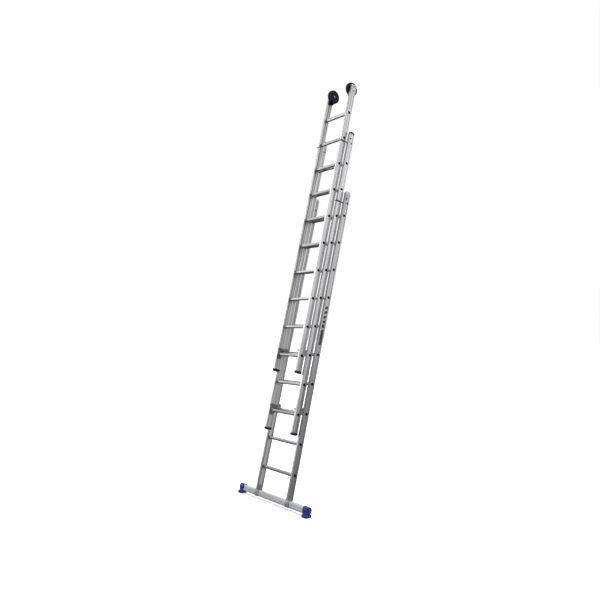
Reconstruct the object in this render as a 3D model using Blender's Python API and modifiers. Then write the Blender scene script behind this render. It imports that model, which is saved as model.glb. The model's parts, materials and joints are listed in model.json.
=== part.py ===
"""Three-section push-up extension ladder, standing at its working lean.

Units are metres and +Z is up.  The climber stands on the -Y side and the ladder leans back towards +Y.
Every section is modelled upright in a frame of its own: X across, Y in depth, Z along the stiles, with the
origin on the axis of its first rung.  Empties lean these frames back and stand the feet on Z = 0.
"""

import math

import bmesh
import bpy
from mathutils import Matrix, Vector

# ---------------------------------------------------------------- driving dimensions
LEAN = math.radians(14.2)            # from the vertical, towards +Y
RUNG_PITCH = 0.280
RUNG_COUNT = 10
FIRST_RUNG = 0.304                   # base section's first rung, along the lean from the floor
EXTENDED_PITCHES = 2                 # each section stands this many rungs up the one behind it
HOOK_DROP = 0.0208                   # a carried rung hangs this far below the rung that carries it

SECTION_NAMES = ("base", "mid", "top")
BASE_WIDTH = 0.500                   # over the stiles
WIDTH_STEP = 0.067                   # each section is this much narrower than the one behind it
DEPTH_STEP = 0.066                   # and stands this far in front of it
TOP_OVERHANG = (0.232, 0.320, 0.310)     # stile above its last rung
BOTTOM_OVERHANG = (0.2217, 0.186, 0.165)  # stile below its first rung

STILE_WIDTH = 0.025
STILE_DEPTH = 0.066
STILE_WALL = 0.0017
RUNG_WALL = 0.0015
RUNG_HOLE_RADIUS = 0.0110            # round hole in the outer wall, which shows the rung's open end

BAR_LENGTH = 1.040
BAR_HEIGHT = 0.058
BAR_DEPTH = 0.040
BAR_WALL = 0.0020
BAR_AXIS = 0.053                     # along the lean from the floor
SADDLE_WIDTH = 0.056
SADDLE_THICKNESS = 0.003
SADDLE_DROP = 0.006                  # the saddle's sides end this far below the bar's top
TONGUE_INSET = 0.004                 # from the bar's front and rear faces
TONGUE_HEIGHT = 0.060

FOOT_LENGTH = 0.070                  # along the bar
FOOT_CENTRE = 0.500                  # from the ladder's centre plane
FOOT_WALL = 0.011                    # in front of the bar and behind it
FOOT_WALL_ABOVE = 0.00825            # above the bar and below it
FOOT_ROUNDING = 0.009
PAD_LENGTH = 0.080
PAD_DEPTH = 0.078
PAD_ADVANCE = 0.010                  # the pad's middle is in front of the bar's
PAD_HEIGHT = 0.024

SHOE_HEIGHT = 0.025                  # bottom caps of the two upper sections
SHOE_WALL = 0.0030
SHOE_FLOOR = 0.005
PLUG_FLANGE = 0.003                  # top caps, whose domes rise over the stile's depth
PLUG_DOME = 0.020
PLUG_DEPTH = 0.030
DOME_STEPS = 12

STRAP_THICKNESS = 0.003
STRAP_HEIGHT = 0.012
STRAP_ABOVE_LAST_RUNG = (0.132, 0.223)   # strap's middle, above its own section's last rung
STRAP_REAR_REACH = 0.022             # behind the middle of its own stile
STRAP_CLEARANCE = 0.0015

HOOK_THICKNESS = 0.005
HOOK_PIVOT_ABOVE_RUNG = 0.050
MOUTH_RISE = 0.0162                  # mouth of the hook, from the axis of the rung it drops over
MOUTH_FRONT = 0.0205
MOUTH_REAR = 0.0190
NOSE_THICKNESS = 0.0085
NOSE_DROP = 0.0060
LIP_STEP = 0.0075                    # the mouth's front lip ends this far above the nose's foot
NOSE_TOP = 0.024                     # top of the nose, above the pivot
HOOK_TOP = 0.008                     # top of the plate over its pivot
WHEEL_RADIUS = 0.070
WHEEL_WIDTH = 0.030
WHEEL_AXIS_BELOW_TOP = 0.031
WHEEL_SETBACK = 0.007                # the wheel's axis is behind the middle of the stile
TYRE_ROUNDING = 0.006
RIM_RADIUS = 0.050
HUB_RADIUS = 0.017
WEB_DEPTH = 0.005                    # the web is this far in from each side of the wheel
WEB_SLOPE = 0.003
AXLE_RADIUS = 0.006
AXLE_HEAD_RADIUS = 0.012
AXLE_HEAD_THICKNESS = 0.004
MOUNT_THICKNESS = 0.005
MOUNT_DEPTH = 0.056
MOUNT_LENGTH = 0.117
NECK_THICKNESS = 0.020               # thick foot of the mount, below the wheel
NECK_HEIGHT = 0.013

GAP = 0.0003                         # between pieces that touch
OVERCUT = 0.010                      # a cutter's reach past the face it opens
BITE = 0.001                         # overlap that joins two shapes of one piece
ROUND_SIDES = 12
WHEEL_SIDES = 40

# ---------------------------------------------------------------- derived places
def section_width(level):
    """Width over the stiles of section 0 (base), 1 (mid) or 2 (top)."""
    return BASE_WIDTH - level * WIDTH_STEP


def section_height(level):
    """First rung's place along the lean, measured from the floor."""
    return FIRST_RUNG + level * (EXTENDED_PITCHES * RUNG_PITCH - HOOK_DROP)


def stile_ends(level):
    """Lower and upper end of a section's stiles, from its first rung."""
    return -BOTTOM_OVERHANG[level], (RUNG_COUNT - 1) * RUNG_PITCH + TOP_OVERHANG[level]


def stile_centre(level, side):
    return side * (section_width(level) - STILE_WIDTH) / 2


WHEEL_AXIS = stile_ends(2)[1] - WHEEL_AXIS_BELOW_TOP
WHEEL_REAR = (-2 * DEPTH_STEP * math.cos(LEAN)
              + (section_height(2) + WHEEL_AXIS) * math.sin(LEAN) + WHEEL_SETBACK * math.cos(LEAN)
              + WHEEL_RADIUS)
PAD_MIDDLE = BAR_AXIS * math.sin(LEAN) - PAD_ADVANCE
FOOT_FRONT = PAD_MIDDLE - PAD_DEPTH / 2
ORIGIN_SHIFT = -(WHEEL_REAR + FOOT_FRONT) / 2    # puts the origin under the middle of the ladder's depth

# Outline of a rung, in depth and height, with a flat tread on top.
RUNG_OUTLINE = ((-0.0150, 0.0095), (-0.0120, 0.0130), (0.0120, 0.0130), (0.0150, 0.0095),
                (0.0150, -0.0040), (0.0075, -0.0145), (-0.0075, -0.0145), (-0.0150, -0.0040))

# Front tab of a hook, from its pivot, in depth and height.
TAB_OUTLINE = ((-0.045, 0.004), (-0.045, -0.006), (-0.016, -0.012))

SIDES = {"left": -1, "right": 1}


# ---------------------------------------------------------------- scene, collections and materials
def clear_scene():
    for old in list(bpy.data.objects):
        bpy.data.objects.remove(old, do_unlink=True)


def new_collection(name):
    collection = bpy.data.collections.new(name)
    bpy.context.scene.collection.children.link(collection)
    return collection


def make_material(name, colour, roughness, metallic):
    material = bpy.data.materials.new(name)
    material.use_nodes = True
    shader = material.node_tree.nodes["Principled BSDF"]
    shader.inputs["Base Color"].default_value = (*colour, 1.0)
    shader.inputs["Roughness"].default_value = roughness
    shader.inputs["Metallic"].default_value = metallic
    return material


clear_scene()
parts = new_collection("extension_ladder")
cutters = new_collection("cutters")

ALUMINIUM = make_material("aluminium", (0.62, 0.63, 0.64), 0.38, 1.0)
TREAD_ALUMINIUM = make_material("rung_aluminium", (0.68, 0.69, 0.70), 0.45, 1.0)
STEEL = make_material("zinc_plated_steel", (0.34, 0.35, 0.36), 0.42, 1.0)
BLACK_PLASTIC = make_material("black_plastic", (0.012, 0.012, 0.020), 0.45, 0.0)
GREY_PLASTIC = make_material("grey_plastic", (0.46, 0.47, 0.48), 0.50, 0.0)
BLUE_PLASTIC = make_material("blue_foot_plastic", (0.030, 0.045, 0.230), 0.42, 0.0)
WHEEL_RUBBER = make_material("wheel_rubber", (0.010, 0.010, 0.016), 0.60, 0.0)


# ---------------------------------------------------------------- modelling helpers
def add_object(name, mesh, collection, parent=None, location=(0, 0, 0), rotation=(0, 0, 0)):
    item = bpy.data.objects.new(name, mesh)
    collection.objects.link(item)
    item.parent = parent
    item.location = location
    item.rotation_euler = rotation
    if collection is cutters:
        item.hide_render = True
        item.display_type = "WIRE"
    return item


def finish_part(item, material):
    item.data.materials.clear()
    item.data.materials.append(material)
    return item


def mesh_from_bmesh(name, shape):
    bmesh.ops.recalc_face_normals(shape, faces=shape.faces)
    mesh = bpy.data.meshes.new(name)
    shape.to_mesh(mesh)
    shape.free()
    return mesh


def add_box(shape, low, high):
    """A box between two corners, added to a bmesh."""
    size = Vector(high) - Vector(low)
    centre = (Vector(high) + Vector(low)) / 2
    matrix = Matrix.Translation(centre) @ Matrix.Diagonal((*size, 1.0))
    bmesh.ops.create_cube(shape, size=1.0, matrix=matrix)


def add_cylinder(shape, radius, low, high, depth=0.0, height=0.0, sides=ROUND_SIDES):
    """A cylinder along X between two X values, with its axis at the given depth and height."""
    turn = Matrix.Rotation(math.pi / 2, 4, "Y")
    matrix = Matrix.Translation(((low + high) / 2, depth, height)) @ turn
    bmesh.ops.create_cone(shape, cap_ends=True, segments=sides, radius1=radius, radius2=radius,
                          depth=high - low, matrix=matrix)


def add_prism(shape, outline, low, high, turn=0.0, height=0.0):
    """An outline in the YZ plane, turned about X and extruded along X between two X values."""
    matrix = Matrix.Translation((0, 0, height)) @ Matrix.Rotation(turn, 4, "X")
    corners = [shape.verts.new(matrix @ Vector((low, y, z))) for y, z in outline]
    face = shape.faces.new(corners)
    swept = bmesh.ops.extrude_face_region(shape, geom=[face])
    moved = [item for item in swept["geom"] if isinstance(item, bmesh.types.BMVert)]
    bmesh.ops.translate(shape, verts=moved, vec=(high - low, 0, 0))


def box_mesh(name, low, high):
    shape = bmesh.new()
    add_box(shape, low, high)
    return mesh_from_bmesh(name, shape)


def combine(item, other, operation):
    """A Boolean modifier on item, with other as its operand."""
    boolean = item.modifiers.new(operation.lower(), "BOOLEAN")
    boolean.object = other
    boolean.operation = operation
    boolean.solver = "EXACT"


def grow(outline, distance):
    """A convex outline moved outwards by a distance (inwards if negative), corner by corner."""
    grown = []
    count = len(outline)
    for index, corner in enumerate(outline):
        here = Vector(corner)
        before = (here - Vector(outline[index - 1])).normalized()
        after = (Vector(outline[(index + 1) % count]) - here).normalized()
        normal_before = Vector((-before.y, before.x))
        normal_after = Vector((-after.y, after.x))
        mitre = (normal_before + normal_after).normalized()
        grown.append(tuple(here + mitre * distance / mitre.dot(normal_before)))
    return grown


def ordered(low, high):
    """Two X values in rising order, so that a mirrored pair uses one description."""
    return min(low, high), max(low, high)


# ---------------------------------------------------------------- frames
def make_frames():
    """The leaning frame and one frame for each section."""
    leaning = add_object("leaning_frame", None, parts, location=(0, ORIGIN_SHIFT, 0),
                         rotation=(-LEAN, 0, 0))
    frames = []
    for level, section in enumerate(SECTION_NAMES):
        place = (0, -level * DEPTH_STEP, section_height(level))
        frames.append(add_object(section + "_frame", None, parts, leaning, place))
    return leaning, frames


# ---------------------------------------------------------------- stiles and rungs
def make_stile(level, side_name, frame):
    """A hollow box section, cut for each rung: the rung's outline inside, a round hole outside."""
    side = SIDES[side_name]
    name = f"{SECTION_NAMES[level]}_{side_name}_stile"
    bottom, top = stile_ends(level)
    outer = side * section_width(level) / 2
    inner = outer - side * STILE_WIDTH
    low, high = ordered(inner, outer)
    stile = add_object(name, box_mesh(name, (low, -STILE_DEPTH / 2, bottom),
                                      (high, STILE_DEPTH / 2, top)), parts, frame)
    core_depth = STILE_DEPTH / 2 - STILE_WALL
    core = add_object(name + "_core", box_mesh(name + "_core",
                                               (low + STILE_WALL, -core_depth, bottom - OVERCUT),
                                               (high - STILE_WALL, core_depth, top + OVERCUT)),
                      cutters, frame)
    combine(stile, core, "DIFFERENCE")
    holes = bmesh.new()
    middle = (inner + outer) / 2
    for rung in range(RUNG_COUNT):
        height = rung * RUNG_PITCH
        start, end = ordered(inner - side * OVERCUT, middle - side * BITE)
        add_prism(holes, grow(RUNG_OUTLINE, 2 * GAP), start, end, turn=LEAN, height=height)
        start, end = ordered(middle + side * BITE, outer + side * OVERCUT)
        add_cylinder(holes, RUNG_HOLE_RADIUS, start, end, height=height)
    cutter = add_object(name + "_holes", mesh_from_bmesh(name + "_holes", holes), cutters, frame)
    combine(stile, cutter, "DIFFERENCE")
    finish_part(stile, ALUMINIUM)


def make_rung_mesh(level):
    """A ribless tube of the rung's outline that ends against the outer walls of both stiles."""
    name = SECTION_NAMES[level] + "_rung"
    half = section_width(level) / 2 - STILE_WALL - GAP
    shape = bmesh.new()
    add_prism(shape, RUNG_OUTLINE, -half, half)
    return mesh_from_bmesh(name, shape)


def make_rungs(level, frame):
    name = SECTION_NAMES[level] + "_rung"
    mesh = make_rung_mesh(level)
    bore = bmesh.new()
    reach = section_width(level) / 2 + OVERCUT
    add_prism(bore, grow(RUNG_OUTLINE, -RUNG_WALL), -reach, reach)
    bore_mesh = mesh_from_bmesh(name + "_bore", bore)
    for rung in range(RUNG_COUNT):
        label = f"{name}_{rung + 1:02d}"
        place = (0, 0, rung * RUNG_PITCH)
        item = add_object(label, mesh, parts, frame, place, (LEAN, 0, 0))
        cutter = add_object(label + "_bore", bore_mesh, cutters, frame, place, (LEAN, 0, 0))
        combine(item, cutter, "DIFFERENCE")
        finish_part(item, TREAD_ALUMINIUM)


# ---------------------------------------------------------------- stabiliser bar and feet
def make_bar(leaning):
    """The bar's tube, with a saddle strap under each stile and a tongue that stands inside the stile."""
    half_height = BAR_HEIGHT / 2
    half_depth = BAR_DEPTH / 2
    bar = add_object("stabiliser_bar", box_mesh("stabiliser_bar",
                                                (-BAR_LENGTH / 2, -half_depth, -half_height),
                                                (BAR_LENGTH / 2, half_depth, half_height)),
                     parts, leaning, (0, 0, BAR_AXIS))
    for side_name, side in SIDES.items():
        middle = stile_centre(0, side)
        saddle = bmesh.new()
        add_box(saddle, (middle - SADDLE_WIDTH / 2, -half_depth - SADDLE_THICKNESS,
                         -half_height - SADDLE_THICKNESS),
                (middle + SADDLE_WIDTH / 2, half_depth + SADDLE_THICKNESS, half_height - SADDLE_DROP))
        strap = add_object(side_name + "_saddle_strap",
                           mesh_from_bmesh(side_name + "_saddle_strap", saddle), cutters, leaning,
                           (0, 0, BAR_AXIS))
        combine(bar, strap, "UNION")
        tongue_x = STILE_WIDTH / 2 - STILE_WALL - 2 * GAP
        tongue_y = half_depth - TONGUE_INSET
        tongue = add_object(side_name + "_saddle_tongue",
                            box_mesh(side_name + "_saddle_tongue",
                                     (middle - tongue_x, -tongue_y, half_height - BITE),
                                     (middle + tongue_x, tongue_y, half_height + TONGUE_HEIGHT)),
                            cutters, leaning, (0, 0, BAR_AXIS))
        combine(bar, tongue, "UNION")
    core = (BAR_LENGTH / 2 + OVERCUT, half_depth - BAR_WALL, half_height - BAR_WALL)
    hollow = add_object("bar_hollow", box_mesh("bar_hollow", [-reach for reach in core], core),
                        cutters, leaning, (0, 0, BAR_AXIS))
    combine(bar, hollow, "DIFFERENCE")
    finish_part(bar, ALUMINIUM)


def make_foot(side_name, leaning, floor):
    """A socket that closes the bar's end, joined to a level pad that stands on the floor."""
    side = SIDES[side_name]
    name = side_name + "_foot"
    centre = side * FOOT_CENTRE
    pad = add_object(name, box_mesh(name, (centre - PAD_LENGTH / 2, -PAD_DEPTH / 2, 0),
                                    (centre + PAD_LENGTH / 2, PAD_DEPTH / 2, PAD_HEIGHT)),
                     parts, floor, (0, PAD_MIDDLE, 0))
    half_depth = BAR_DEPTH / 2 + FOOT_WALL
    half_height = BAR_HEIGHT / 2 + FOOT_WALL_ABOVE
    socket = add_object(name + "_socket", box_mesh(name + "_socket",
                                                   (centre - FOOT_LENGTH / 2, -half_depth, -half_height),
                                                   (centre + FOOT_LENGTH / 2, half_depth, half_height)),
                        cutters, leaning, (0, 0, BAR_AXIS))
    rounding = socket.modifiers.new("rounding", "BEVEL")
    rounding.width = FOOT_ROUNDING
    rounding.segments = 2
    combine(pad, socket, "UNION")
    pocket_end = BAR_LENGTH / 2 + GAP
    pocket_start = FOOT_CENTRE - FOOT_LENGTH / 2 - OVERCUT
    start, end = ordered(side * pocket_start, side * pocket_end)
    pocket = add_object(name + "_pocket", box_mesh(name + "_pocket",
                                                   (start, -BAR_DEPTH / 2 - GAP, -BAR_HEIGHT / 2 - GAP),
                                                   (end, BAR_DEPTH / 2 + GAP, BAR_HEIGHT / 2 + GAP)),
                        cutters, leaning, (0, 0, BAR_AXIS))
    combine(pad, pocket, "DIFFERENCE")
    finish_part(pad, BLUE_PLASTIC)


# ---------------------------------------------------------------- caps
def make_shoe(level, side_name, frame):
    """A cup over the lower end of a stile."""
    name = f"{SECTION_NAMES[level]}_{side_name}_bottom_cap"
    middle = stile_centre(level, SIDES[side_name])
    bottom = stile_ends(level)[0]
    pocket_x = STILE_WIDTH / 2 + GAP
    pocket_y = STILE_DEPTH / 2 + GAP
    floor_z = bottom - GAP
    shoe = add_object(name, box_mesh(name, (middle - pocket_x - SHOE_WALL, -pocket_y - SHOE_WALL,
                                            floor_z - SHOE_FLOOR),
                                     (middle + pocket_x + SHOE_WALL, pocket_y + SHOE_WALL,
                                      floor_z - SHOE_FLOOR + SHOE_HEIGHT)), parts, frame)
    pocket = add_object(name + "_pocket", box_mesh(name + "_pocket",
                                                   (middle - pocket_x, -pocket_y, floor_z),
                                                   (middle + pocket_x, pocket_y, floor_z + SHOE_HEIGHT)),
                        cutters, frame)
    combine(shoe, pocket, "DIFFERENCE")
    finish_part(shoe, BLACK_PLASTIC)


def dome_outline():
    """A top cap's side view, in depth and height above the stile's end."""
    half = STILE_DEPTH / 2
    outline = [(half, 0.0)]
    for step in range(DOME_STEPS + 1):
        angle = math.pi * step / DOME_STEPS
        outline.append((half * math.cos(angle), PLUG_FLANGE + PLUG_DOME * math.sin(angle)))
    outline.append((-half, 0.0))
    return outline


def make_plug(level, side_name, frame, material):
    """A domed cap on the upper end of a stile, with a plug that reaches into it."""
    name = f"{SECTION_NAMES[level]}_{side_name}_top_cap"
    middle = stile_centre(level, SIDES[side_name])
    top = stile_ends(level)[1] + GAP
    dome = bmesh.new()
    add_prism(dome, dome_outline(), middle - STILE_WIDTH / 2, middle + STILE_WIDTH / 2, height=top)
    plug = add_object(name, mesh_from_bmesh(name, dome), parts, frame)
    reach_x = STILE_WIDTH / 2 - STILE_WALL - 2 * GAP
    reach_y = STILE_DEPTH / 2 - STILE_WALL - 2 * GAP
    stem = add_object(name + "_stem", box_mesh(name + "_stem",
                                               (middle - reach_x, -reach_y, top - PLUG_DEPTH),
                                               (middle + reach_x, reach_y, top + BITE)), cutters, frame)
    combine(plug, stem, "UNION")
    finish_part(plug, material)


# ---------------------------------------------------------------- guides and hooks
def make_guide(level, side_name, frame):
    """A steel strap on a stile's inner face that reaches round the stile of the section in front."""
    side = SIDES[side_name]
    name = f"{SECTION_NAMES[level]}_{side_name}_guide"
    height = (RUNG_COUNT - 1) * RUNG_PITCH + STRAP_ABOVE_LAST_RUNG[level]
    low_z, high_z = height - STRAP_HEIGHT / 2, height + STRAP_HEIGHT / 2
    outer = side * (section_width(level) / 2 - STILE_WIDTH - GAP)
    inner = outer - side * STRAP_THICKNESS
    front_inner = -DEPTH_STEP - STILE_DEPTH / 2 - STRAP_CLEARANCE
    front_outer = front_inner - STRAP_THICKNESS
    leg_low, leg_high = ordered(inner, outer)
    guide = add_object(name, box_mesh(name, (leg_low, front_outer, low_z),
                                      (leg_high, STRAP_REAR_REACH, high_z)), parts, frame)
    lip_end = side * (section_width(level + 1) / 2 - STILE_WIDTH)
    lip_low, lip_high = ordered(lip_end, outer - side * STRAP_THICKNESS / 2)
    lip = add_object(name + "_lip", box_mesh(name + "_lip", (lip_low, front_outer, low_z),
                                             (lip_high, front_inner, high_z)), cutters, frame)
    combine(guide, lip, "UNION")
    finish_part(guide, STEEL)


def hook_outline():
    """The hook's plate, from its pivot, in depth and height: it drops over the rung behind."""
    rung_z = HOOK_DROP - HOOK_PIVOT_ABOVE_RUNG
    mouth_top = rung_z + MOUTH_RISE
    mouth_front = DEPTH_STEP - MOUTH_FRONT
    mouth_rear = DEPTH_STEP + MOUTH_REAR
    nose_rear = mouth_rear + NOSE_THICKNESS
    nose_foot = rung_z - NOSE_DROP
    lip_foot = nose_foot + LIP_STEP
    return (*TAB_OUTLINE, (mouth_front - 0.016, -0.014), (mouth_front - 0.010, lip_foot),
            (mouth_front, lip_foot), (mouth_front, mouth_top), (mouth_rear, mouth_top),
            (mouth_rear, nose_foot), (nose_rear - 0.002, nose_foot), (nose_rear, nose_foot + 0.004),
            (nose_rear, NOSE_TOP - 0.010), (nose_rear - 0.010, NOSE_TOP), (-0.004, HOOK_TOP),
            (-0.014, HOOK_TOP - 0.004))


def make_hook(level, side_name, frame):
    """A plate on the stile's inner face that swings about its pivot."""
    side = SIDES[side_name]
    name = f"{SECTION_NAMES[level]}_{side_name}_hook"
    face = side * (section_width(level) / 2 - STILE_WIDTH - GAP)
    pivot = add_object(name + "_pivot", None, parts, frame, (face, 0, HOOK_PIVOT_ABOVE_RUNG))
    outline = bpy.data.curves.new(name, "CURVE")
    outline.dimensions = "2D"
    outline.fill_mode = "BOTH"
    outline.extrude = HOOK_THICKNESS / 2
    spline = outline.splines.new("POLY")
    corners = hook_outline()
    spline.points.add(len(corners) - 1)
    for point, (y, z) in zip(spline.points, corners):
        point.co = (y, z, 0, 1)
    spline.use_cyclic_u = True
    turn = Matrix(((0, 0, 1), (1, 0, 0), (0, 1, 0))).to_euler()
    hook = add_object(name, outline, parts, pivot, (-side * HOOK_THICKNESS / 2, 0, 0), turn)
    finish_part(hook, STEEL)


# ---------------------------------------------------------------- wall wheels
def make_wheel_mount(side_name, frame):
    """A plate on the stile's inner face, a cap over its end, and the wheel's axle with its head."""
    side = SIDES[side_name]
    name = side_name + "_wheel_mount"
    top = stile_ends(2)[1]
    outer = side * section_width(2) / 2
    face = outer - side * (STILE_WIDTH + GAP)
    low, high = ordered(face - side * MOUNT_THICKNESS, face)
    mount = add_object(name, box_mesh(name, (low, -MOUNT_DEPTH / 2, top - MOUNT_LENGTH),
                                      (high, MOUNT_DEPTH / 2, top + GAP + PLUG_FLANGE)), parts, frame)
    cap_low, cap_high = ordered(face - side * MOUNT_THICKNESS / 2, outer)
    cap = add_object(name + "_cap", box_mesh(name + "_cap", (cap_low, -STILE_DEPTH / 2, top + GAP),
                                             (cap_high, STILE_DEPTH / 2, top + GAP + PLUG_FLANGE)),
                     cutters, frame)
    combine(mount, cap, "UNION")
    neck_low, neck_high = ordered(face - side * NECK_THICKNESS, face - side * BITE)
    neck = add_object(name + "_neck", box_mesh(name + "_neck",
                                               (neck_low, -MOUNT_DEPTH / 2, top - MOUNT_LENGTH),
                                               (neck_high, MOUNT_DEPTH / 2,
                                                top - MOUNT_LENGTH + NECK_HEIGHT)), cutters, frame)
    combine(mount, neck, "UNION")
    wheel_outer = face - side * (MOUNT_THICKNESS + GAP)
    wheel_inner = wheel_outer - side * WHEEL_WIDTH
    head_start = wheel_inner - side * GAP
    shape = bmesh.new()
    add_cylinder(shape, AXLE_RADIUS, *ordered(face - side * BITE, head_start - side * BITE),
                 WHEEL_SETBACK, WHEEL_AXIS)
    axle = add_object(name + "_axle", mesh_from_bmesh(name + "_axle", shape), cutters, frame)
    combine(mount, axle, "UNION")
    shape = bmesh.new()
    add_cylinder(shape, AXLE_HEAD_RADIUS, *ordered(head_start, head_start - side * AXLE_HEAD_THICKNESS),
                 WHEEL_SETBACK, WHEEL_AXIS)
    head = add_object(name + "_head", mesh_from_bmesh(name + "_head", shape), cutters, frame)
    combine(mount, head, "UNION")
    finish_part(mount, BLACK_PLASTIC)
    return (wheel_outer + wheel_inner) / 2


def make_wheel(side_name, frame, centre_x):
    """A turned wheel: a rounded tyre, thinner web and a hub with a bore."""
    name = side_name + "_wall_wheel"
    half = WHEEL_WIDTH / 2
    bore = AXLE_RADIUS + 2 * GAP
    shoulder = half - TYRE_ROUNDING
    web = half - WEB_DEPTH
    tread = WHEEL_RADIUS - TYRE_ROUNDING
    profile = ((tread, half), (WHEEL_RADIUS, shoulder), (WHEEL_RADIUS, -shoulder), (tread, -half),
               (RIM_RADIUS, -half), (RIM_RADIUS - WEB_SLOPE, -web), (HUB_RADIUS + WEB_SLOPE, -web),
               (HUB_RADIUS, -half), (bore, -half), (bore, half), (HUB_RADIUS, half),
               (HUB_RADIUS + WEB_SLOPE, web), (RIM_RADIUS - WEB_SLOPE, web), (RIM_RADIUS, half))
    mesh = bpy.data.meshes.new(name)
    count = len(profile)
    edges = [(index, (index + 1) % count) for index in range(count)]
    mesh.from_pydata([(radius, 0, along) for radius, along in profile], edges, [])
    wheel = add_object(name, mesh, parts, frame, (centre_x, WHEEL_SETBACK, WHEEL_AXIS),
                       (0, math.pi / 2, 0))
    turned = wheel.modifiers.new("turned", "SCREW")
    turned.axis = "Z"
    turned.angle = 2 * math.pi
    turned.steps = WHEEL_SIDES
    turned.render_steps = WHEEL_SIDES
    turned.use_merge_vertices = True
    turned.merge_threshold = 0.00005
    finish_part(wheel, WHEEL_RUBBER)


# ---------------------------------------------------------------- the ladder
def make_ladder():
    leaning, frames = make_frames()
    floor = add_object("floor_frame", None, parts, location=(0, ORIGIN_SHIFT, 0))
    make_bar(leaning)
    for level, frame in enumerate(frames):
        make_rungs(level, frame)
    for side_name in SIDES:
        make_foot(side_name, leaning, floor)
        for level, frame in enumerate(frames):
            make_stile(level, side_name, frame)
        make_plug(0, side_name, frames[0], GREY_PLASTIC)
        make_plug(1, side_name, frames[1], BLACK_PLASTIC)
        for level in (1, 2):
            make_shoe(level, side_name, frames[level])
            make_hook(level, side_name, frames[level])
        for level in (0, 1):
            make_guide(level, side_name, frames[level])
        wheel_x = make_wheel_mount(side_name, frames[2])
        make_wheel(side_name, frames[2], wheel_x)


make_ladder()
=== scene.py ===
"""Visual model of a three-section extension ladder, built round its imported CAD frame.

Metres, +Z up.  Most pieces are described in leaning coordinates, X across the ladder, Y in depth and
Z along the stiles, from the row frame's origin, and turned into the row frame as they are made.
"""

import json
import math

import bmesh
import bpy
from mathutils import Matrix, Vector


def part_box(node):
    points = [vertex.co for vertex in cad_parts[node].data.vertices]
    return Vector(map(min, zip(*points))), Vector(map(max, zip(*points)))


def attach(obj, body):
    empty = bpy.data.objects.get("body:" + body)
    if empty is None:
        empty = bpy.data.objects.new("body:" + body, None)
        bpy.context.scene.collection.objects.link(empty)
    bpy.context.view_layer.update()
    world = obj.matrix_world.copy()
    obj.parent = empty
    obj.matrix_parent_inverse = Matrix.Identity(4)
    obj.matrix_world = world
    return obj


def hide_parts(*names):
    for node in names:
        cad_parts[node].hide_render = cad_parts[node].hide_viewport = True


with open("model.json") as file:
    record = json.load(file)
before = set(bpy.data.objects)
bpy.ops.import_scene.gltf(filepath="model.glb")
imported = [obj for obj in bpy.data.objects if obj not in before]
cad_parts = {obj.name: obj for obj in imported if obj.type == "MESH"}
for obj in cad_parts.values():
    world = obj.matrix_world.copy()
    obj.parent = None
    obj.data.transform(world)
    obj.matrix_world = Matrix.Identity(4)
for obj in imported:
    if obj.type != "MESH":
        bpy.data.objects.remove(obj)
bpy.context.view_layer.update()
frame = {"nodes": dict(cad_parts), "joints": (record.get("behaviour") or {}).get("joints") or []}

# ---- places from the frame
SLIDE_AXIS = Vector(next(j["axis"] for j in frame["joints"] if j["name"] == "mid_slide")).normalized()
LEAN = math.atan2(SLIDE_AXIS.y, SLIDE_AXIS.z)
LEANING = Matrix.Rotation(-LEAN, 4, "X")
UPRIGHT = LEANING.inverted()
SIDES = {"left": -1, "right": 1}
SECTIONS = ("base", "mid", "top")
RUNGS = 10
CAD_GAP = 0.0003                     # between CAD nodes that touch

# A stile's web: distances from its middle, and how far it lies below the lips there.
WEB_CROWN = ((0.0030, 0.0002), (0.0065, 0.0005), (0.0100, 0.0011), (0.0130, 0.0017), (0.0160, 0.0024))
WEB_GROOVE = ((0.0176, 0.0029), (0.0190, 0.0029), (0.0202, 0.0002))

# Share of painted shade (a darker tone) and of painted light (near-white metal) on a stile, with the heights
# between which it fades in or out.
INNER_WEB_PAINTED_SHADE = (0.4, 1.9, 0.0, 0.58)
OUTER_WEB_PAINTED_SHADE = (1.0, 2.1, 0.28, 0.0)
LIP_PAINTED_SHADE = (0.5, 1.6, 0.45, 0.0)
INNER_WEB_PAINTED_LIGHT = (0.6, 1.5, 0.9, 0.0)
PAINTED_LIGHT_METAL = (0.97, 0.97, 0.98)


def lean_box(node):
    """A CAD node's lowest and highest corners in leaning coordinates."""
    corners = [UPRIGHT @ vertex.co for vertex in frame["nodes"][node].data.vertices]
    low = Vector([min(corner[axis] for corner in corners) for axis in range(3)])
    high = Vector([max(corner[axis] for corner in corners) for axis in range(3)])
    return low, high


def stile_box(section, side_name):
    return lean_box(f"{section}_{side_name}_stile")


def joint_place(name):
    """A joint's place in leaning coordinates."""
    return UPRIGHT @ Vector(next(j["pos_m"] for j in frame["joints"] if j["name"] == name))


# ---- material nodes
def link(tree, source, target):
    tree.links.new(source, target)


def add_node(tree, kind, **settings):
    node = tree.nodes.new(kind)
    for key, value in settings.items():
        setattr(node, key, value)
    return node


def ladder_coordinates(tree):
    """Object coordinates turned upright, so that Z runs along the stiles."""
    place = add_node(tree, "ShaderNodeTexCoord")
    turn = add_node(tree, "ShaderNodeMapping")
    turn.inputs["Rotation"].default_value = (LEAN, 0, 0)
    link(tree, place.outputs["Object"], turn.inputs["Vector"])
    return turn.outputs["Vector"]


def noise(tree, vector, scale, stretch=(1, 1, 1), detail=3.0, roughness=0.55):
    """A noise pattern, finer along the axes with the larger stretch."""
    mapping = add_node(tree, "ShaderNodeMapping")
    mapping.inputs["Scale"].default_value = stretch
    link(tree, vector, mapping.inputs["Vector"])
    pattern = add_node(tree, "ShaderNodeTexNoise")
    pattern.inputs["Scale"].default_value = scale
    pattern.inputs["Detail"].default_value = detail
    pattern.inputs["Roughness"].default_value = roughness
    link(tree, mapping.outputs["Vector"], pattern.inputs["Vector"])
    return pattern.outputs["Fac"]


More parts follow.
